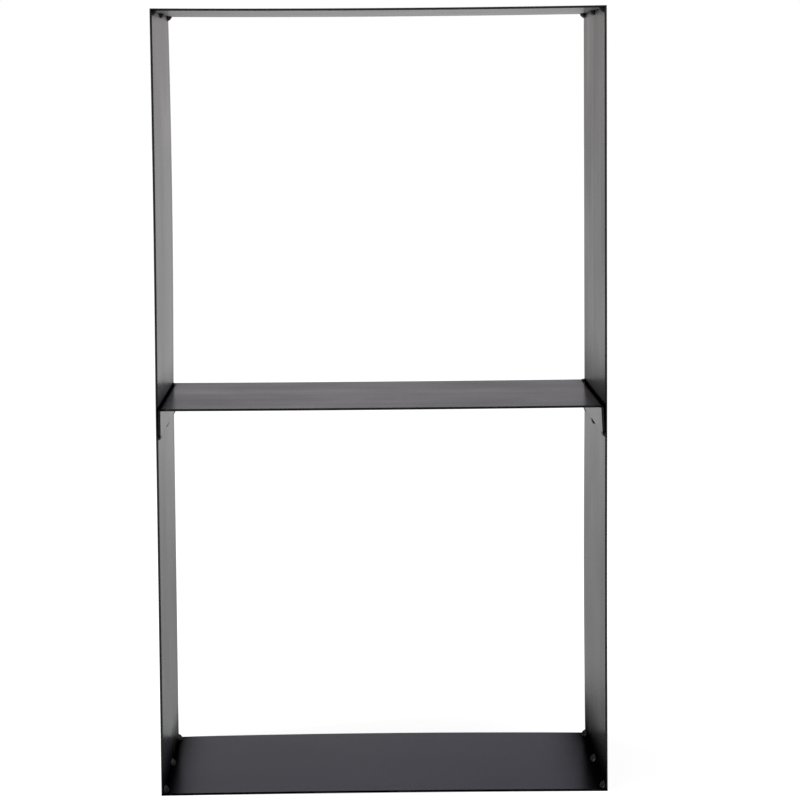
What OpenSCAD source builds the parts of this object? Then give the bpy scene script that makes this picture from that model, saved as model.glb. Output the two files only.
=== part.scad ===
// Firewood log rack: two sides, a top and a base of flat steel sheet, and one middle shelf
// whose two ends are folded down. Short rippled fillet welds hold the four corners from
// inside and the two folds from below. A tack weld closes the groove over each fold at its
// back end.
// The origin is on the floor under the middle of the rack. +Z is up and the front is at -Y.

/* [Rack] */
// Overall width
rack_w = 400; // [300:10:600]
// Overall height
rack_h = 700; // [600:10:1200]
// Depth from the front edges to the back edges
rack_d = 250; // [180:10:400]
// Thickness of every sheet
sheet_t = 2; // [1.5:0.5:4]

/* [Middle shelf] */
// Height of the shelf's top face above the floor
shelf_z = 348; // [200:1:450]
// Overall height of each folded end, from the shelf's top face down
fold_h = 25; // [15:1:40]
// Inside radius of each fold
bend_r = 1; // [0.5:0.5:4]
// Radius of the lower corners of each folded end
fold_corner_r = 4; // [1:0.5:8]
// Gap between each folded end and the side it is welded to
shelf_gap = 0.2; // [0:0.1:0.5]

/* [Welds] */
// Length of each weld bead
bead_len = 20; // [12:1:40]
// Leg of a bead, from the corner to its toe
bead_leg = 4; // [3:0.5:6]
// How far a bead's face stands out of the straight line between its toes
bead_bulge = 0.8; // [0.4:0.1:1.5]
// Distance from the rack's front edges to the first bead of a row
bead_inset = 2; // [0:1:10]
// Spacing of the ripples along a bead
ripple_pitch = 2.5; // [1.5:0.1:4]
// Depth of the valleys between the ripples
ripple_depth = 0.3; // [0.1:0.05:0.5]
// Length of the tack at the back end of the groove over each fold
tack_len = 8; // [4:1:20]
// How far a tack's face stands up over the shelf
tack_crown = 0.3; // [0.1:0.1:0.5]

/* [Hidden] */
$fn = 48;
front_y = -rack_d / 2;
back_y = rack_d / 2;
inner_x = rack_w / 2 - sheet_t;
inner_h = rack_h - 2 * sheet_t;
shelf_half_w = inner_x - shelf_gap;
fold_round_r = bend_r + sheet_t;
// Under a fold, a bead reaches across the gap and the sheet's edge, and bead_leg down the side
fold_leg = shelf_gap + sheet_t;
// Round outline of one ripple: an arc over one pitch, as high as a valley is deep
ripple_r = (pow(ripple_pitch / 2, 2) + pow(ripple_depth, 2)) / (2 * ripple_depth);
// Where the three beads of a seam start: near the front edge, centred, and near the back edge.
// In the corners the last bead ends at the back edge; on a fold the end beads leave the round
// corners free.
function bead_starts(front_gap, back_gap) =
    [front_y + front_gap, -bead_len / 2, back_y - back_gap - bead_len];
corner_starts = bead_starts(bead_inset, 0);
fold_starts = bead_starts(max(bead_inset, fold_corner_r), fold_corner_r);
coat = "#1d1d20";
bead_coat = "#2a2a2e";

// Flat side sheet, standing between the base and the top; hand is -1 on the left, 1 on the right
module side(hand) {
    color(coat)
    translate([hand * (inner_x + sheet_t / 2), 0, rack_h / 2])
    cube([sheet_t, rack_d, inner_h], center = true);
}

// Flat sheet over the full width, with its underside at height z
module full_width_panel(z) {
    color(coat)
    translate([-rack_w / 2, front_y, z])
    cube([rack_w, rack_d, sheet_t]);
}

// Area below a level line at 0 with both upper corners round: half_w wide each way, h deep
module round_shouldered(half_w, h, r) {
    translate([-half_w, -h])
    square([2 * half_w, h - r]);
    translate([r - half_w, -h])
    square([2 * (half_w - r), h]);
    for (x = [r - half_w, half_w - r])
    translate([x, -r])
    circle(r = r);
}

// Cross-section of the shelf: the sheet's outside less the space under it and between its folds
module folded_section() {
    difference() {
        round_shouldered(shelf_half_w, fold_h, fold_round_r);
        translate([0, -sheet_t])
        round_shouldered(shelf_half_w - sheet_t, fold_h, bend_r);
    }
}

// Side view of the shelf: depth by fold height, with the folds' two lower corners round
module shelf_side_view() {
    translate([0, -fold_h])
    mirror([0, 1])
    round_shouldered(rack_d / 2, fold_h, fold_corner_r);
}

// Middle shelf: one sheet folded down at both ends
module middle_shelf() {
    color(coat)
    translate([0, 0, shelf_z])
    intersection() {
        rotate([90, 0, 0])
        linear_extrude(height = rack_d, center = true)
        folded_section();
        rotate([90, 0, 90])
        linear_extrude(height = rack_w, center = true)
        shelf_side_view();
    }
}

// One bead in the corner between two faces at x = 0 and z = 0. It runs along +Y for bead_len,
// with its toes at leg_x and leg_z, and the ripples are rings about the axis of its round face.
module weld_bead(leg_x, leg_z) {
    chord = norm([leg_x, leg_z]);
    face_r = (pow(chord / 2, 2) + pow(bead_bulge, 2)) / (2 * bead_bulge);
    behind = face_r - bead_bulge;
    ripples = max(2, round((bead_len - 2 * ripple_r) / ripple_pitch) + 1);
    step = (bead_len - 2 * ripple_r) / (ripples - 1);
    intersection() {
        cube([leg_x + bead_bulge, bead_len, leg_z + bead_bulge]);
        translate([leg_x / 2 - behind * leg_z / chord, 0, leg_z / 2 - behind * leg_x / chord])
        rotate([-90, 0, 0])
        rotate_extrude()
        intersection() {
            square([face_r, bead_len]);
            union() {
                square([face_r - ripple_r, bead_len]);
                for (i = [0 : ripples - 1])
                translate([face_r - ripple_r, ripple_r + i * step])
                circle(r = ripple_r);
            }
        }
    }
}

// The beads of one seam on the side given by hand, at height z. dir is 1 for a corner that
// opens upwards and -1 for one that opens downwards.
module bead_row(hand, z, dir, starts, leg_x) {
    color(bead_coat)
    for (y = starts)
    translate([hand * inner_x, y, z])
    mirror([hand > 0 ? 1 : 0, 0, 0])
    mirror([0, 0, dir < 0 ? 1 : 0])
    weld_bead(leg_x, bead_leg);
}

// Cross-section of a tack in the groove between a side at x = 0 and a fold's outer round, with
// a low crown on top. It ends at four fifths of the round's depth, where the groove closes up.
module tack_section() {
    groove_w = shelf_gap + fold_round_r;
    crown_r = (pow(groove_w / 2, 2) + pow(tack_crown, 2)) / (2 * tack_crown);
    difference() {
        intersection() {
            translate([0, -0.8 * fold_round_r])
            square([groove_w, 0.8 * fold_round_r + tack_crown]);
            translate([groove_w / 2, tack_crown - crown_r])
            circle(r = crown_r);
        }
        translate([groove_w, -fold_round_r])
        circle(r = fold_round_r);
    }
}

// The tack that closes the back end of the groove over a fold
module back_tack(hand) {
    color(bead_coat)
    translate([hand * inner_x, back_y, shelf_z])
    mirror([hand > 0 ? 1 : 0, 0, 0])
    rotate([90, 0, 0])
    linear_extrude(height = tack_len)
    tack_section();
}

module top_welds(hand) {
    bead_row(hand, rack_h - sheet_t, -1, corner_starts, bead_leg);
}

module base_welds(hand) {
    bead_row(hand, sheet_t, 1, corner_starts, bead_leg);
}

module shelf_welds(hand) {
    bead_row(hand, shelf_z - fold_h, -1, fold_starts, fold_leg);
    back_tack(hand);
}

side(-1);  // left_side
side(1);  // right_side
full_width_panel(rack_h - sheet_t);  // top_panel
full_width_panel(0);  // base_panel
middle_shelf();
top_welds(-1);  // top_left_welds
top_welds(1);  // top_right_welds
base_welds(-1);  // base_left_welds
base_welds(1);  // base_right_welds
shelf_welds(-1);  // shelf_left_welds
shelf_welds(1);  // shelf_right_welds
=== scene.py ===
"""A firewood log rack in black powder-coated sheet steel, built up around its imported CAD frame."""

import math

import bmesh
import bpy
import numpy as np
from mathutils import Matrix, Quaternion, Vector


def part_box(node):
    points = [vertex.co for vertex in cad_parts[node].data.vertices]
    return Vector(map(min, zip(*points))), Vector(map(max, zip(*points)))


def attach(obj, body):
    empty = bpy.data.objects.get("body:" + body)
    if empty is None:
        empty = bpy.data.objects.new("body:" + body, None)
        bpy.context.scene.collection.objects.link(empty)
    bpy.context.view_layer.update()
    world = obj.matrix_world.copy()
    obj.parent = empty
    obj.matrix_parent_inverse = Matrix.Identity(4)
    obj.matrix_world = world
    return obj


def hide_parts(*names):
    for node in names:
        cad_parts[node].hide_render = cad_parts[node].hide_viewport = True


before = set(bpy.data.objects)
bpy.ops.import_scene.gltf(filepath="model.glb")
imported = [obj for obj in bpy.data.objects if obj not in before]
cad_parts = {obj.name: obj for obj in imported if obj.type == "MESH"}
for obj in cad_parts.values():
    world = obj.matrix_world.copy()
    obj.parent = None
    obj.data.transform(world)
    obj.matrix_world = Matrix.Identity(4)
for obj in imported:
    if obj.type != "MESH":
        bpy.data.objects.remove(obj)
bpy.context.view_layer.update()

# ---------------------------------------------------------------- camera
# The rack stands straight in front of a long lens, at the height of its upper bay. The
# camera looks slightly down, from a little left of the middle, and leans by half a degree.
EYE = Vector((-0.0240, -2.9086, 0.6299))
AIM = Vector((0.0181, 0.0, 0.3419))
LEAN = math.radians(-0.4391)
LENS_MM = 142.21
SENSOR_MM = 36.0
SIGHT = 100.0

camera = bpy.data.objects.new("camera", bpy.data.cameras.new("camera"))
camera.data.lens = LENS_MM
camera.data.sensor_width = SENSOR_MM
camera.data.clip_end = SIGHT
camera.location = EYE
camera.rotation_mode = "QUATERNION"
camera.rotation_quaternion = (AIM - EYE).to_track_quat("-Z", "Y") @ Quaternion((0, 0, 1), LEAN)
bpy.context.scene.collection.objects.link(camera)
bpy.context.scene.camera = camera
bpy.context.scene.view_settings.view_transform = "Standard"

# ---------------------------------------------------------------- surround
# A white studio around the rack, plain white where the camera looks past it. In a gloss its
# horizon is pale and a touch warm, dimmer on the left, and fades upwards to a dim bluish band
# that comes lower on the right. A broad white ceiling hangs straight above.
WHITE = (1.0, 1.0, 1.0, 1.0)
SURROUND_LIGHT = 0.42
HORIZON_GLOSS = 0.66
HORIZON_TINT = (1.03, 0.99, 0.985)
BAND_GLOSS = 0.085
BAND_BLUE = 1.60
BAND_SPAN = (0.02, 0.29)
BAND_TILT = 0.40
CEILING_GLOSS = 1.10
CEILING_SPAN = (0.38, 0.75)
LEFT_GLOSS = 0.38
LEFT_SPAN = (-0.27, 0.0)


def fill_inputs(tree, node, inputs):
    """Give a node's inputs, by name or number, a value or the output that feeds them."""
    for name, value in inputs.items():
        if isinstance(value, bpy.types.NodeSocket):
            tree.links.new(value, node.inputs[name])
        else:
            node.inputs[name].default_value = value


def maths(tree, operation, *values):
    """One operation of a shader on values, each a number or an output."""
    node = tree.nodes.new("ShaderNodeMath")
    node.operation = operation
    fill_inputs(tree, node, dict(enumerate(values)))
    return node.outputs[0]


def mapped(tree, value, span, levels=(0.0, 1.0), easing="LINEAR"):
    """Value carried from a span over to two levels and held past them, in a straight line or,
    with the easing SMOOTHSTEP, in a smooth step."""
    node = tree.nodes.new("ShaderNodeMapRange")
    node.interpolation_type = easing
    ends = {"From Min": span[0], "From Max": span[1], "To Min": levels[0], "To Max": levels[1]}
    fill_inputs(tree, node, {"Value": value, **ends})
    return node.outputs["Result"]


def mixed(tree, share, first, second):
    """First colour with a share of the second mixed in, each a colour or an output."""
    node = tree.nodes.new("ShaderNodeMix")
    node.data_type = "RGBA"
    fill_inputs(tree, node, {"Factor": share, "A": first, "B": second})
    return node.outputs["Result"]


def grey(level):
    """Neutral colour of one level."""
    return (level, level, level, 1.0)


def seen_straight(tree, rays):
    """1 for a ray straight from the camera or through something clear, and 0 for any other."""
    straight = (rays.outputs["Is Camera Ray"], rays.outputs["Is Transmission Ray"])
    return maths(tree, "MAXIMUM", *straight)


world = bpy.data.worlds.new("studio_surround")
bpy.context.scene.world = world
world.use_nodes = True
sky = world.node_tree
sky.nodes.clear()
rays = sky.nodes.new("ShaderNodeLightPath")
heading = sky.nodes.new("ShaderNodeSeparateXYZ")
sky.links.new(sky.nodes.new("ShaderNodeTexCoord").outputs["Generated"], heading.inputs[0])
rightwards, upwards = heading.outputs["X"], heading.outputs["Z"]
tilted = maths(sky, "MULTIPLY_ADD", maths(sky, "MAXIMUM", rightwards, 0.0), BAND_TILT, upwards)
in_band = mapped(sky, tilted, BAND_SPAN, easing="SMOOTHSTEP")
in_ceiling = mapped(sky, upwards, CEILING_SPAN, easing="SMOOTHSTEP")
horizon = (*(HORIZON_GLOSS * tint for tint in HORIZON_TINT), 1.0)
band = (BAND_GLOSS, BAND_GLOSS, BAND_GLOSS * BAND_BLUE, 1.0)
studio = mixed(sky, in_ceiling, mixed(sky, in_band, horizon, band), grey(CEILING_GLOSS))
shaded = sky.nodes.new("ShaderNodeVectorMath")
shaded.operation = "SCALE"
dimmed = mapped(sky, rightwards, LEFT_SPAN, (LEFT_GLOSS, 1.0), "SMOOTHSTEP")
fill_inputs(sky, shaded, {0: studio, "Scale": dimmed})
around = mixed(sky, rays.outputs["Is Glossy Ray"], grey(SURROUND_LIGHT), shaded.outputs[0])
glow = sky.nodes.new("ShaderNodeBackground")
sky.links.new(mixed(sky, seen_straight(sky, rays), around, WHITE), glow.inputs["Color"])
sky_out = sky.nodes.new("ShaderNodeOutputWorld")
sky.links.new(glow.outputs[0], sky_out.inputs["Surface"])

# ---------------------------------------------------------------- floor
# The rack stands on a pale matt studio floor, which keeps its soft shadow. The floor is
# lifted to the white of the surround where it is seen straight, and in a gloss it is lifted
# more and more with its distance from the rack, but hardly on the left.
FLOOR_HALF = 30.0
FLOOR_GREY = 0.60
FLOOR_LIFT = 0.80
GLOSS_LIFT = 0.37
GLOSS_LIFT_LEFT = 0.02
GLOSS_LIFT_SPAN = (0.4, 3.5)

floor_mesh = bpy.data.meshes.new("floor")
square = np.array([(-1, -1, 0), (1, -1, 0), (1, 1, 0), (-1, 1, 0)]) * FLOOR_HALF
floor_mesh.from_pydata(square.tolist(), [], [(0, 1, 2, 3)])
floor = bpy.data.objects.new("floor", floor_mesh)
bpy.context.scene.collection.objects.link(floor)
paint = bpy.data.materials.new("studio_floor")
paint.use_nodes = True
ground = paint.node_tree
ground.nodes.clear()
rays = ground.nodes.new("ShaderNodeLightPath")
spot = ground.nodes.new("ShaderNodeTexCoord").outputs["Object"]
spot_axes = ground.nodes.new("ShaderNodeSeparateXYZ")
ground.links.new(spot, spot_axes.inputs[0])
measured = ground.nodes.new("ShaderNodeVectorMath")
measured.operation = "LENGTH"
ground.links.new(spot, measured.inputs[0])
distance = measured.outputs["Value"]
far_off = mapped(ground, distance, GLOSS_LIFT_SPAN, easing="SMOOTHSTEP")
bearing = maths(ground, "DIVIDE", spot_axes.outputs["X"], distance)
gloss_lifts = (GLOSS_LIFT_LEFT / FLOOR_LIFT, GLOSS_LIFT / FLOOR_LIFT)
sideways = mapped(ground, bearing, LEFT_SPAN, gloss_lifts, "SMOOTHSTEP")
in_gloss = maths(ground, "MULTIPLY", far_off, sideways)
in_gloss = maths(ground, "MULTIPLY", rays.outputs["Is Glossy Ray"], in_gloss)
lift = maths(ground, "MAXIMUM", seen_straight(ground, rays), in_gloss)
extra = ground.nodes.new("ShaderNodeEmission")
ground.links.new(maths(ground, "MULTIPLY", lift, FLOOR_LIFT), extra.inputs["Strength"])
matt = ground.nodes.new("ShaderNodeBsdfDiffuse")
matt.inputs["Color"].default_value = grey(FLOOR_GREY)
both = ground.nodes.new("ShaderNodeAddShader")
ground.links.new(matt.outputs[0], both.inputs[0])
ground.links.new(extra.outputs[0], both.inputs[1])
floor_out = ground.nodes.new("ShaderNodeOutputMaterial")
ground.links.new(both.outputs[0], floor_out.inputs["Surface"])
floor_mesh.materials.append(paint)

# ---------------------------------------------------------------- lamps
# Two large round soft lamps stand in front of the rack: the strong key high on the left, and
# a far weaker fill on the right.
LAMPS_AIM = Vector((0, 0, 0.35))

for name, place, diameter, watts in (
    ("key_lamp", Vector((-2.6, -1.5, 2.3)), 1.6, 90.0),
    ("fill_lamp", Vector((2.2, -1.6, 1.8)), 1.8, 8.0),
):
    lamp = bpy.data.objects.new(name, bpy.data.lights.new(name, "AREA"))
    lamp.data.shape = "DISK"
    lamp.data.size = diameter
    lamp.data.energy = watts
    lamp.location = place
    lamp.rotation_mode = "QUATERNION"
    lamp.rotation_quaternion = (LAMPS_AIM - place).to_track_quat("-Z", "Y")
    bpy.context.scene.collection.objects.link(lamp)

# ---------------------------------------------------------------- base
# The base is a 2 mm sheet-steel blank over the full width, cut by laser and powder coated
# satin black after welding. The heat of the corner welds bows it up a little in the middle.
SHEET_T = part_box("base_panel")[1].z
INNER_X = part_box("right_side")[0].x
UNDER_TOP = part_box("top_panel")[0].z
# The base's bow at its front and back edges, and its painted shade beside the sides and on its cut
# edges
BASE_BOW_FRONT = 0.0008
BASE_BOW_BACK = 0.0016
BASE_SHADE_REACH_LEFT = 0.027
BASE_SHADE_REACH_RIGHT = 0.036
BASE_SHADE_POWER = 3
BASE_EDGE_SHADE = 1.0
BASE_SEED = 1

# Cut edges, grid spacing and soft waves of every sheet
EDGE_ROUND = 0.00035
EDGE_SEGMENTS = 3
EDGE_ANGLE = math.radians(50)
RIM = 0.0012
CELL = 0.008
CLOSEST = 0.0005
SEAM_STEPS = (0.0008, 0.0016, 0.003, 0.005, 0.008, 0.012, 0.018, 0.026, 0.038)
SOFT_WAVE = 0.00018
WAVE_COUNT = 4
WAVE_LENGTHS = (0.10, 0.30)

# The coat's colours and shine, its noises, and how far each noise swings it
COAT_DARK = (0.0052, 0.0053, 0.0060, 1.0)
COAT_LIGHT = (0.0090, 0.0092, 0.0105, 1.0)
COAT_WORN = (0.0450, 0.0460, 0.0480, 1.0)
# Colour of the painted shade in inside corners and on some cut edges
COAT_PAINTED_SHADE = (0.0012, 0.0012, 0.0015, 1.0)
COAT_IOR = 1.45
FULL_SHINE = 0.5
LEVEL_ROUGH = 0.234
CLOUDS = {"Scale": 9.0, "Detail": 3.0}
STREAKS = {"Scale": 150.0, "Detail": 2.0}
BANDS = {"Scale": 42.0, "Detail": 1.0}
CHIPS = {"Scale": 60.0, "Detail": 4.0}
ORANGE_PEEL = {"Scale": 900.0, "Detail": 2.0}
GRAIN = {"Scale": 3200.0, "Detail": 1.0}
NOISE_SPAN = (0.3, 0.7)
ROLLED_STRETCH = 0.03
CLOUD_ROUGH = 0.02
STREAK_ROUGH = 0.009
BAND_ROUGH = 0.010
CHIP_SPAN = (0.50, 0.72)
RIM_SPAN = (0.75, 1.0)
EDGE_WEAR = 0.3
BUMP_STRENGTH = 0.5
GRAIN_DEPTH = 0.00002
PEEL_DEPTH = 0.00005


def spaced(low, high, seams=()):
    """Stations from low to high a cell apart or less, close to each end for the rim, and
    closing up towards each seam given."""
    stations = list(np.linspace(low, high, int(round((high - low) / CELL)) + 1))
    for seam in seams:
        stations += [seam] + [seam + step * way for step in SEAM_STEPS for way in (-1, 1)]
    inside = sorted(s for s in stations if low + 2 * RIM < s < high - 2 * RIM)
    kept = [low, low + RIM]
    kept += [s for i, s in enumerate(inside) if i == 0 or s - inside[i - 1] > CLOSEST]
    return np.array(kept + [high - RIM, high])


def level_grid(low, high):
    """Grid of x and y over a level sheet between two corners, closing up towards the sides."""
    across = spaced(low.x, high.x, (-INNER_X, INNER_X))
    return np.meshgrid(across, spaced(low.y, high.y), indexing="ij")


def wave(p, q, seed):
    """Soft waves of a rolled sheet, 0 to 1: the mean of WAVE_COUNT cosines of p and q (metres)
    with seeded directions, lengths and phases."""
    draw = np.random.default_rng(seed)
    turns = draw.uniform(0, 2 * np.pi, WAVE_COUNT)
    lengths = draw.uniform(*WAVE_LENGTHS, WAVE_COUNT)
    phases = draw.uniform(0, 2 * np.pi, WAVE_COUNT)
    total = np.zeros(np.broadcast(p, q).shape)
    for turn, length, phase in zip(turns, lengths, phases):
        total += np.cos(2 * np.pi * (p * np.cos(turn) + q * np.sin(turn)) / length + phase)
    return 0.5 + total / (2 * WAVE_COUNT)


def pillow(p, q):
    """Window over a sheet: 1 in its middle, falling as a parabola each way to 0 at its edges."""
    across = 1 - (2 * (p - p.min()) / np.ptp(p) - 1) ** 2
    along = 1 - (2 * (q - q.min()) / np.ptp(q) - 1) ** 2
    return across * along


def near(distance, reach, power=1):
    """Closeness to an inside corner: 1 at the corner, dying off as the exponential of minus
    the power of distance over reach. A higher power gives it a flatter top."""
    return np.exp(-((np.abs(distance) / reach) ** power))


def sheet_piece(name, middle, corner, edge_shade, material):
    """Steel sheet from the grid of points on its middle surface. Solidify gives it SHEET_T and
    Bevel rounds its cut edges. Three attributes ride on it: "rim" is 1 on the cut edge and 0
    inside, "edge" is the painted shade given for the cut edge, and "corner" is the painted
    shade given near the inside corners."""
    rows, columns = middle.shape[:2]
    index = np.arange(rows * columns).reshape(rows, columns)
    quads = np.stack([index[:-1, :-1], index[1:, :-1], index[1:, 1:], index[:-1, 1:]], -1)
    mesh = bpy.data.meshes.new(name)
    mesh.from_pydata(middle.reshape(-1, 3).tolist(), [], quads.reshape(-1, 4).tolist())
    rim = np.zeros((rows, columns), np.float32)
    rim[[0, -1], :] = 1.0
    rim[:, [0, -1]] = 1.0
    attributes = {"rim": rim, "edge": edge_shade * rim, "corner": corner.astype(np.float32)}
    for label, values in attributes.items():
        mesh.attributes.new(label, "FLOAT", "POINT").data.foreach_set("value", values.ravel())
    mesh.polygons.foreach_set("use_smooth", np.ones(len(mesh.polygons), bool))
    mesh.materials.append(material)
    piece = bpy.data.objects.new(name, mesh)
    bpy.context.scene.collection.objects.link(piece)
    thick = piece.modifiers.new("sheet", "SOLIDIFY")
    thick.thickness = SHEET_T
    thick.offset = 0.0
    thick.use_even_offset = True
    rounded = piece.modifiers.new("cut_edges", "BEVEL")
    rounded.width = EDGE_ROUND
    rounded.segments = EDGE_SEGMENTS
    rounded.limit_method = "ANGLE"
    rounded.angle_limit = EDGE_ANGLE
    rounded.harden_normals = True
    return piece


def noise(tree, place, look, stretch=(1.0, 1.0, 1.0)):
    """Level of a noise at a place, 0 to 1. A small stretch draws it out along that axis."""
    mapping = tree.nodes.new("ShaderNodeMapping")
    fill_inputs(tree, mapping, {"Scale": stretch, "Vector": place})
    texture = tree.nodes.new("ShaderNodeTexNoise")
    fill_inputs(tree, texture, {**look, "Vector": mapping.outputs["Vector"]})
    return texture.outputs["Fac"]


def attribute(tree, label):
    """Level of one of the attributes that a sheet carries."""
    node = tree.nodes.new("ShaderNodeAttribute")
    node.attribute_name = label
    return node.outputs["Fac"]


def painted_shade_share(tree, place):
    """Share of painted shade on the coat, 0 to 1: the "corner" attribute on the faces that look into
    the rack, which lie inside the middle of its outer sheets, and the "edge" one on cut edges."""
    axes = tree.nodes.new("ShaderNodeSeparateXYZ")
    tree.links.new(place, axes.inputs[0])
    out_x = maths(tree, "ABSOLUTE", axes.outputs["X"])
    share = attribute(tree, "corner")
    for inside in (
        maths(tree, "LESS_THAN", out_x, INNER_X + SHEET_T / 2),
        maths(tree, "GREATER_THAN", axes.outputs["Z"], SHEET_T / 2),
        maths(tree, "LESS_THAN", axes.outputs["Z"], UNDER_TOP + SHEET_T / 2),
    ):
        share = maths(tree, "MULTIPLY", share, inside)
    return maths(tree, "MAXIMUM", share, attribute(tree, "edge"))


def bump(tree, pattern, depth):
    """Dimples of a depth in metres from a pattern's level."""
    node = tree.nodes.new("ShaderNodeBump")
    fill_inputs(tree, node, {"Strength": BUMP_STRENGTH, "Distance": depth, "Height": pattern})
    return node


def powder_coat(name, rolled_along, rough, corner_rough=0.0, bead_shine=None):
    """Satin black powder coat. Slow clouds vary its colour and its roughness, streaks and bands
    along the sheet's rolling direction vary the roughness too, and a fine orange peel dimples
    it. Cut edges are a bit worn. Painted shade makes inside corners and some cut edges darker
    and takes their shine, and makes them rougher by corner_rough. A coat on weld beads has no
    edges or corners, only its own even bead_shine."""
    coat = bpy.data.materials.new(name)
    coat.use_nodes = True
    tree = coat.node_tree
    surface = tree.nodes["Principled BSDF"]
    place = tree.nodes.new("ShaderNodeTexCoord").outputs["Object"]
    rolled = [ROLLED_STRETCH if axis == rolled_along else 1.0 for axis in "XYZ"]
    clouds = noise(tree, place, CLOUDS)
    colour = mixed(tree, mapped(tree, clouds, NOISE_SPAN), COAT_DARK, COAT_LIGHT)
    roughness = rough
    for pattern, swing in (
        (clouds, CLOUD_ROUGH),
        (noise(tree, place, STREAKS, rolled), STREAK_ROUGH),
        (noise(tree, place, BANDS, rolled), BAND_ROUGH),
    ):
        swung = mapped(tree, pattern, NOISE_SPAN, (-swing, swing))
        roughness = maths(tree, "ADD", roughness, swung)
    shine = bead_shine
    if bead_shine is None:
        # Painted shade: a darker colour and less shine in inside corners and on some cut edges
        painted_shade = painted_shade_share(tree, place)
        colour = mixed(tree, painted_shade, colour, COAT_PAINTED_SHADE)
        shine = mapped(tree, painted_shade, (0.0, 1.0), (FULL_SHINE, 0.0))
        chipped = mapped(tree, noise(tree, place, CHIPS), CHIP_SPAN)
        at_edge = mapped(tree, attribute(tree, "rim"), RIM_SPAN)
        worn = maths(tree, "MULTIPLY", maths(tree, "MULTIPLY", chipped, at_edge), EDGE_WEAR)
        colour = mixed(tree, worn, colour, COAT_WORN)
        if corner_rough > 0:
            rougher = maths(tree, "MULTIPLY", painted_shade, corner_rough)
            roughness = maths(tree, "ADD", roughness, rougher)
    grainy = bump(tree, noise(tree, place, GRAIN), GRAIN_DEPTH)
    dimpled = bump(tree, noise(tree, place, ORANGE_PEEL), PEEL_DEPTH)
    tree.links.new(grainy.outputs["Normal"], dimpled.inputs["Normal"])
    tree.links.new(dimpled.outputs["Normal"], surface.inputs["Normal"])
    finish = {"Base Color": colour, "Roughness": roughness, "Specular IOR Level": shine}
    fill_inputs(tree, surface, {**finish, "IOR": COAT_IOR})
    return coat


level_coat = powder_coat("coat_on_level_sheets", "X", LEVEL_ROUGH)
low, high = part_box("base_panel")
x, y = level_grid(low, high)
to_back = (y - low.y) / (high.y - low.y)
bow = BASE_BOW_FRONT + (BASE_BOW_BACK - BASE_BOW_FRONT) * to_back
bow = bow * (1 - (x / high.x) ** 2)
z = (low.z + high.z) / 2 + bow + SOFT_WAVE * pillow(x, y) * wave(x, y, BASE_SEED)
# Painted shade beside the sides, reaching further on the right: a darker colour and less shine
reach = np.where(x < 0, BASE_SHADE_REACH_LEFT, BASE_SHADE_REACH_RIGHT)
corner = near(np.clip(INNER_X - np.abs(x), 0, None), reach, BASE_SHADE_POWER)
base = sheet_piece("base_sheet", np.stack([x, y, z], -1), corner, BASE_EDGE_SHADE, level_coat)
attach(base, "root")
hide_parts("base_panel")

# ---------------------------------------------------------------- sides
# Two tall 2 mm sheets, cut as the same blank, stand on the base under the top and are welded
# to both from inside. Weld heat bows the left one in beside the upper bay and the right one
# beside the lower bay. Painted shade darkens them and takes their shine at their feet, along
# the seams, behind the folds and just over the shelf.
SHELF_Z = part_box("middle_shelf")[1].z
FOLD_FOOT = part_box("middle_shelf")[0].z
GROOVE_HALF = 0.0015
# Reach of the painted shade along the seams, and its strength under the fold's foot
SEAM_SHADE_REACH = 0.0012
FOLD_FOOT_SHADE = 0.7
# Painted shade at the feet and over the shelf, as how strong it is and how far it reaches up
FEET_SHADE = {"left": (0.95, 0.026), "right": (1.00, 0.042)}
FEET_SHADE_POWER = 4
OVER_SHELF_SHADE = {"left": (0.50, 0.018), "right": (0.68, 0.034)}
OVER_SHELF_SHADE_POWER = 2
# Bows at the front and the back edge, and the heights that they lie between
BOWS = {"left": (0.0005, 0.0013), "right": (0.0003, 0.0009)}
BOWED_BAY = {"left": (SHELF_Z, UNDER_TOP), "right": (SHEET_T, FOLD_FOOT)}
SIDE_ROUGH = 0.24
SIDE_CORNER_ROUGH = 0.18


def bowed(height, foot, head):
    """Bow of a sheet held at foot and head: half a sine wave, 0 at both and 1 between them."""
    return np.sin(np.pi * np.clip((height - foot) / (head - foot), 0, 1))


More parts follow.
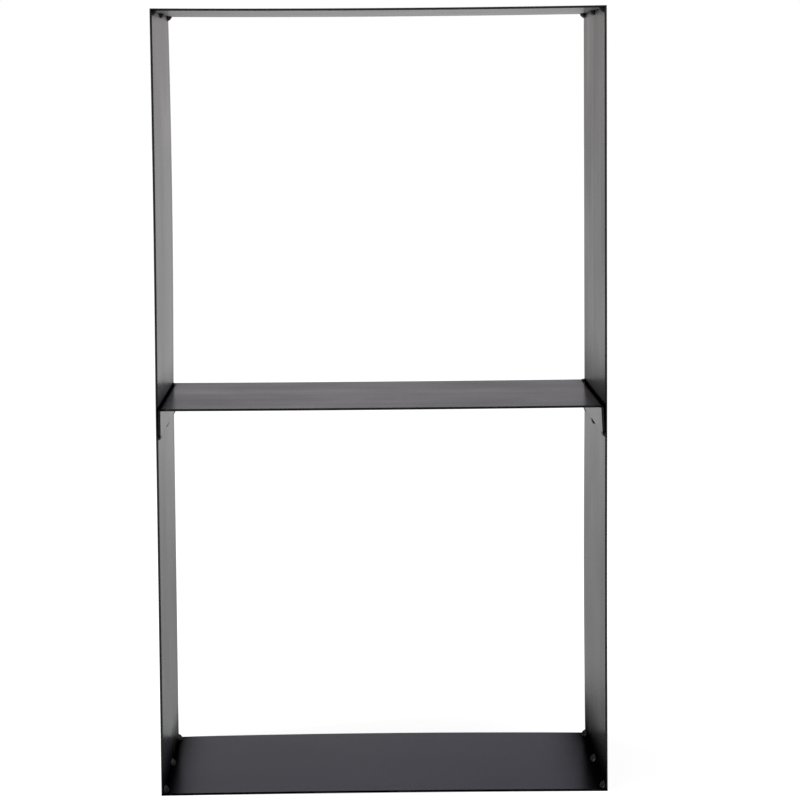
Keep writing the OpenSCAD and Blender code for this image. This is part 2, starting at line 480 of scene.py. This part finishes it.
upright_coat = powder_coat("coat_on_upright_sheets", "Z", SIDE_ROUGH, SIDE_CORNER_ROUGH)
for side_name, inward, seed in (("left", 1, 2), ("right", -1, 3)):
    node = f"{side_name}_side"
    low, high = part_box(node)
    seams = (low.z, FOLD_FOOT, SHELF_Z, high.z)
    y, z = np.meshgrid(spaced(low.y, high.y), spaced(low.z, high.z, seams), indexing="ij")
    front_bow, back_bow = BOWS[side_name]
    bow = front_bow + (back_bow - front_bow) * (y - low.y) / (high.y - low.y)
    bow = bow * bowed(z, *BOWED_BAY[side_name]) + SOFT_WAVE * pillow(y, z) * wave(y, z, seed)
    x = (low.x + high.x) / 2 + inward * bow
    # The "corner" share is painted shade: along the seams, under the fold's foot, behind the fold,
    # just over the shelf and at the feet
    off_groove = np.clip(np.abs(z - SHELF_Z) - GROOVE_HALF, 0, None)
    corner = FOLD_FOOT_SHADE * near(z - FOLD_FOOT, SEAM_SHADE_REACH)
    for off_seam in (z - low.z, high.z - z, off_groove):
        corner = np.maximum(corner, near(off_seam, SEAM_SHADE_REACH))
    painted_shade, reach = OVER_SHELF_SHADE[side_name]
    shade_over_shelf = painted_shade * near(z - SHELF_Z, reach, OVER_SHELF_SHADE_POWER)
    corner = np.maximum(corner, np.where(z > SHELF_Z, shade_over_shelf, 0.0))
    corner = np.where((z > FOLD_FOOT) & (z < SHELF_Z), 1.0, corner)
    painted_shade, reach = FEET_SHADE[side_name]
    corner = np.maximum(corner, painted_shade * near(z - low.z, reach, FEET_SHADE_POWER))
    middle = np.stack([x, y, z], -1)
    side = sheet_piece(f"{side_name}_side_sheet", middle, corner, 0.0, upright_coat)
    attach(side, "root")
    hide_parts(node)

# ---------------------------------------------------------------- middle shelf
# One 2 mm blank with both ends pressed down over a small tool radius, and the lower corners
# of the folds rounded off. The right end sprang back a little and leans in from its foot. The
# shelf slides in between the sides and hangs on its welds.
BEND_MIDDLE_R = 0.002
BEND_STEPS = 10
FOLD_CORNER_R = 0.004
FOLD_CORNER_STATIONS = 9
FOLD_FLAT_STATIONS = 2
RIGHT_SPRING = 0.0012
SHELF_SAG = 0.0004
SHELF_STIFF_END = 0.01
# Painted shade on the shelf's top towards each fold, reaching further on the right, and on its cut
# edges
SHELF_SHADE_REACH_LEFT = 0.006
SHELF_SHADE_REACH_RIGHT = 0.010
SHELF_EDGE_SHADE = 0.5


def folded_stations(half_width, top, foot):
    """Half of the fold's middle line from the shelf's centre outwards, as (x, z): level at top,
    a quarter circle of BEND_MIDDLE_R, then straight down to foot, with the last stations
    closing up as a sine over FOLD_CORNER_R."""
    turn = np.linspace(0.0, np.pi / 2, BEND_STEPS + 1)
    centre_x = half_width - BEND_MIDDLE_R
    centre_z = top - BEND_MIDDLE_R
    level = spaced(0.0, centre_x, (half_width,))
    level = np.concatenate([[0.0], level[2:-2]])
    down = np.linspace(centre_z, foot + FOLD_CORNER_R, FOLD_FLAT_STATIONS + 2)[1:-1]
    closing = np.sin(np.linspace(0, np.pi / 2, FOLD_CORNER_STATIONS))
    below = np.concatenate([down, foot + FOLD_CORNER_R * (1 - closing)])
    xs = [level, centre_x + BEND_MIDDLE_R * np.sin(turn), np.full(len(below), half_width)]
    zs = [np.full(len(level), top), centre_z + BEND_MIDDLE_R * np.cos(turn), below]
    return np.concatenate(xs), np.concatenate(zs)


low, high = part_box("middle_shelf")
fold_x, fold_z = folded_stations(high.x - SHEET_T / 2, high.z - SHEET_T / 2, low.z)
section_x = np.concatenate([-fold_x[:0:-1], fold_x])
section_z = np.concatenate([fold_z[:0:-1], fold_z])
up_fold = (section_z - low.z) / (section_z.max() - low.z)
section_x = section_x - RIGHT_SPRING * up_fold * np.clip(section_x / section_x.max(), 0, None)
over_foot = np.clip(section_z - low.z, 0, FOLD_CORNER_R)
cut_back = FOLD_CORNER_R - np.sqrt(FOLD_CORNER_R**2 - (FOLD_CORNER_R - over_foot) ** 2)
depth = spaced(low.y, high.y)
sag = SHELF_SAG * np.clip(1 - (section_x / (high.x - SHELF_STIFF_END)) ** 2, 0, None)
x = np.repeat(section_x[:, None], len(depth), 1)
y = depth[None, :] * (1 - cut_back / high.y)[:, None]
z = np.repeat((section_z - sag)[:, None], len(depth), 1)
over_bend = np.clip((section_z - section_z.max()) / BEND_MIDDLE_R + 1, 0, 1)
# Painted shade on the top of the shelf beside each fold: a darker colour and less shine
off_groove = np.clip(high.x - 2 * GROOVE_HALF - np.abs(x), 0, None)
reach = np.where(x < 0, SHELF_SHADE_REACH_LEFT, SHELF_SHADE_REACH_RIGHT)
corner = near(off_groove, reach) * over_bend[:, None]
middle = np.stack([x, y, z], -1)
shelf = sheet_piece("folded_shelf", middle, corner, SHELF_EDGE_SHADE, level_coat)
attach(shelf, "root")
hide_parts("middle_shelf")

# ---------------------------------------------------------------- top
# The top is the same blank as the base. It lies on the two sides, and the weld heat on its
# underside makes it sag by about a millimetre in the middle.
TOP_SAG = 0.0011
# Reach of the painted shade on the top's underside beside the sides
TOP_SHADE_REACH = 0.010
TOP_SEED = 4

low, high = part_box("top_panel")
x, y = level_grid(low, high)
z = (low.z + high.z) / 2 - TOP_SAG * (1 - (x / high.x) ** 2)
z = z - SOFT_WAVE * pillow(x, y) * wave(x, y, TOP_SEED)
# Painted shade on the top's underside beside the sides: a darker colour and less shine
corner = near(np.clip(INNER_X - np.abs(x), 0, None), TOP_SHADE_REACH)
top = sheet_piece("top_sheet", np.stack([x, y, z], -1), corner, 0.0, level_coat)
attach(top, "root")
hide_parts("top_panel")

# ---------------------------------------------------------------- weld beads
# Short hand-laid steel beads join the sheets: three along each inside corner of the frame,
# three under each fold of the shelf, the middle right one heaped up more, and a tack in the
# back end of the groove over each fold. The coat lies over them and softens their ripples.
BEAD_LEN = 0.020
BEAD_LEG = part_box("top_left_welds")[1].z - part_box("top_left_welds")[0].z
FOLD_LEG = 0.0022
FACE_FULLNESS = 1.35
# The heaped bead under the middle of the right fold, then the tacks
HEAPED_LEN = 0.015
HEAPED_LEGS = (0.0026, 0.0044)
HEAPED_FULLNESS = 0.9
TACK_LEN = 0.008
TACK_LEG = 0.0032
TACK_DEEP = 0.0024
TACK_CROWN = 0.00025
RIGHT_TACK_CROWN = 3 * TACK_CROWN
TACK_FULLNESS = 0.8
# Ripples, uneven swell and sunk back of every bead, and the grid that they are worked out on
RIPPLE_PITCH = 0.0025
RIPPLE_SHARE = 0.13
RIPPLE_DRIFT = 0.12
CREST_CURVE = 0.45
CREST_LEVEL = 0.7
UNEVEN_SHARE = 0.05
UNEVEN_TURNS = 1.3
SUNK = 0.0003
SUNK_SHARE = 0.6
RINGS = 96
RINGS_CROWDED = 0.4
FACE_POINTS = 15
BEAD_ROUGH = 0.32
BEAD_SHINE = 0.22


def bead_rings(leg_a, leg_b, length, fullness, draw):
    """Rings of one bead as (a, b, u): a and b are distances from its two sheets, u runs 0 to 1
    and is crowded at the ends. The face is leg_a cos^p, leg_b sin^p of an angle, p being its
    fullness, both legs closing at the ends as the fourth root of 1 - |2u - 1|^4. Its ripples
    are parabolas between sharp valleys, swept back along the face's middle and fading out at
    its toes as a square root. Three sunk points close each ring inside the sheets."""
    u = np.linspace(0, 1, RINGS + 2)[1:-1]
    u = (1 - RINGS_CROWDED) * u + RINGS_CROWDED * (0.5 - 0.5 * np.cos(np.pi * u))
    close = (1 - np.abs(2 * u - 1) ** 4) ** 0.25
    angle = np.linspace(0, np.pi / 2, FACE_POINTS)
    ripples = length / RIPPLE_PITCH
    drift = RIPPLE_DRIFT * np.sin(2 * np.pi * (u + draw.uniform()))
    phase = (ripples * u + drift)[:, None] + CREST_CURVE * (1 - np.sin(2 * angle))[None, :]
    crest = 1 - (2 * (phase % 1) - 1) ** 2
    fade = np.sin(2 * angle)[None, :] ** 0.5
    swell = 1 + RIPPLE_SHARE * (crest - CREST_LEVEL) * fade
    uneven = 1 + UNEVEN_SHARE * np.cos(2 * np.pi * (UNEVEN_TURNS * u + draw.uniform()))
    size = (close * uneven)[:, None] * swell
    a = leg_a * size * np.cos(angle) ** fullness
    b = leg_b * size * np.sin(angle) ** fullness
    shut = close[:, None]
    a = np.concatenate([a, -SUNK * shut, -SUNK * shut, SUNK_SHARE * leg_a * shut], 1)
    b = np.concatenate([b, SUNK_SHARE * leg_b * shut, -SUNK * shut, -SUNK * shut], 1)
    return a, b, u


def weld_piece(name, node, hand, beads, material):
    """Beads on one seam as one piece, whose name seeds their unevenness. hand is the side's
    sign of X. Each bead is given as its front end, its length, the height of its corner, the
    way the corner opens (1 up, -1 down), its two legs and the fullness of its face."""
    draw = np.random.default_rng(sum(map(ord, name)))
    points, faces = [], []
    for start, length, seam_z, opens, leg_a, leg_b, fullness in beads:
        a, b, u = bead_rings(leg_a, leg_b, length, fullness, draw)
        rings, around = a.shape
        along = np.repeat((start + length * u)[:, None], around, 1)
        grid = np.stack([hand * (INNER_X - a), along, seam_z + opens * b], -1).reshape(-1, 3)
        tips = [(hand * INNER_X, start, seam_z), (hand * INNER_X, start + length, seam_z)]
        first = sum(map(len, points))
        index = first + np.arange(rings * around).reshape(rings, around)
        beside = np.roll(index, -1, 1)
        quads = np.stack([index[:-1], beside[:-1], beside[1:], index[1:]], -1).reshape(-1, 4)
        front, back = first + rings * around, first + rings * around + 1
        faces += quads.tolist()
        faces += [(front, q, p) for p, q in zip(index[0], beside[0])]
        faces += [(back, p, q) for p, q in zip(index[-1], beside[-1])]
        points.append(np.concatenate([grid, tips]))
    mesh = bpy.data.meshes.new(name)
    mesh.from_pydata(np.concatenate(points).tolist(), [], faces)
    closed = bmesh.new()
    closed.from_mesh(mesh)
    bmesh.ops.recalc_face_normals(closed, faces=closed.faces)
    closed.to_mesh(mesh)
    closed.free()
    mesh.polygons.foreach_set("use_smooth", np.ones(len(mesh.polygons), bool))
    mesh.materials.append(material)
    piece = bpy.data.objects.new(name, mesh)
    bpy.context.scene.collection.objects.link(piece)
    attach(piece, "root")
    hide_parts(node)


bead_coat = powder_coat("coat_on_weld_beads", "Y", BEAD_ROUGH, bead_shine=BEAD_SHINE)
fold_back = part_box("middle_shelf")[1].y
fold_starts = (FOLD_CORNER_R - fold_back, -BEAD_LEN / 2, fold_back - FOLD_CORNER_R - BEAD_LEN)
fold_face = (FOLD_FOOT, -1, FOLD_LEG, BEAD_LEG, FACE_FULLNESS)
under_left = [(start, BEAD_LEN, *fold_face) for start in fold_starts]
heaped = (-HEAPED_LEN / 2, HEAPED_LEN, FOLD_FOOT, -1, *HEAPED_LEGS, HEAPED_FULLNESS)
under_right = [under_left[0], heaped, under_left[2]]
tack = (fold_back - TACK_LEN, TACK_LEN, SHELF_Z - TACK_DEEP, 1)
left_tack = (*tack, TACK_LEG, TACK_DEEP + TACK_CROWN, TACK_FULLNESS)
right_tack = (*tack, TACK_LEG + RIGHT_SPRING, TACK_DEEP + RIGHT_TACK_CROWN, TACK_FULLNESS)
for side_name, hand, fold_beads in (
    ("left", -1, [*under_left, left_tack]),
    ("right", 1, [*under_right, right_tack]),
):
    for seam, seam_z, opens in (("top", UNDER_TOP, -1), ("base", SHEET_T, 1)):
        node = f"{seam}_{side_name}_welds"
        low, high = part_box(node)
        corner_face = (seam_z, opens, BEAD_LEG, BEAD_LEG, FACE_FULLNESS)
        starts = (low.y, -BEAD_LEN / 2, high.y - BEAD_LEN)
        beads = [(start, BEAD_LEN, *corner_face) for start in starts]
        weld_piece(f"{seam}_{side_name}_beads", node, hand, beads, bead_coat)
    weld_piece(f"fold_{side_name}_beads", f"shelf_{side_name}_welds", hand, fold_beads, bead_coat)
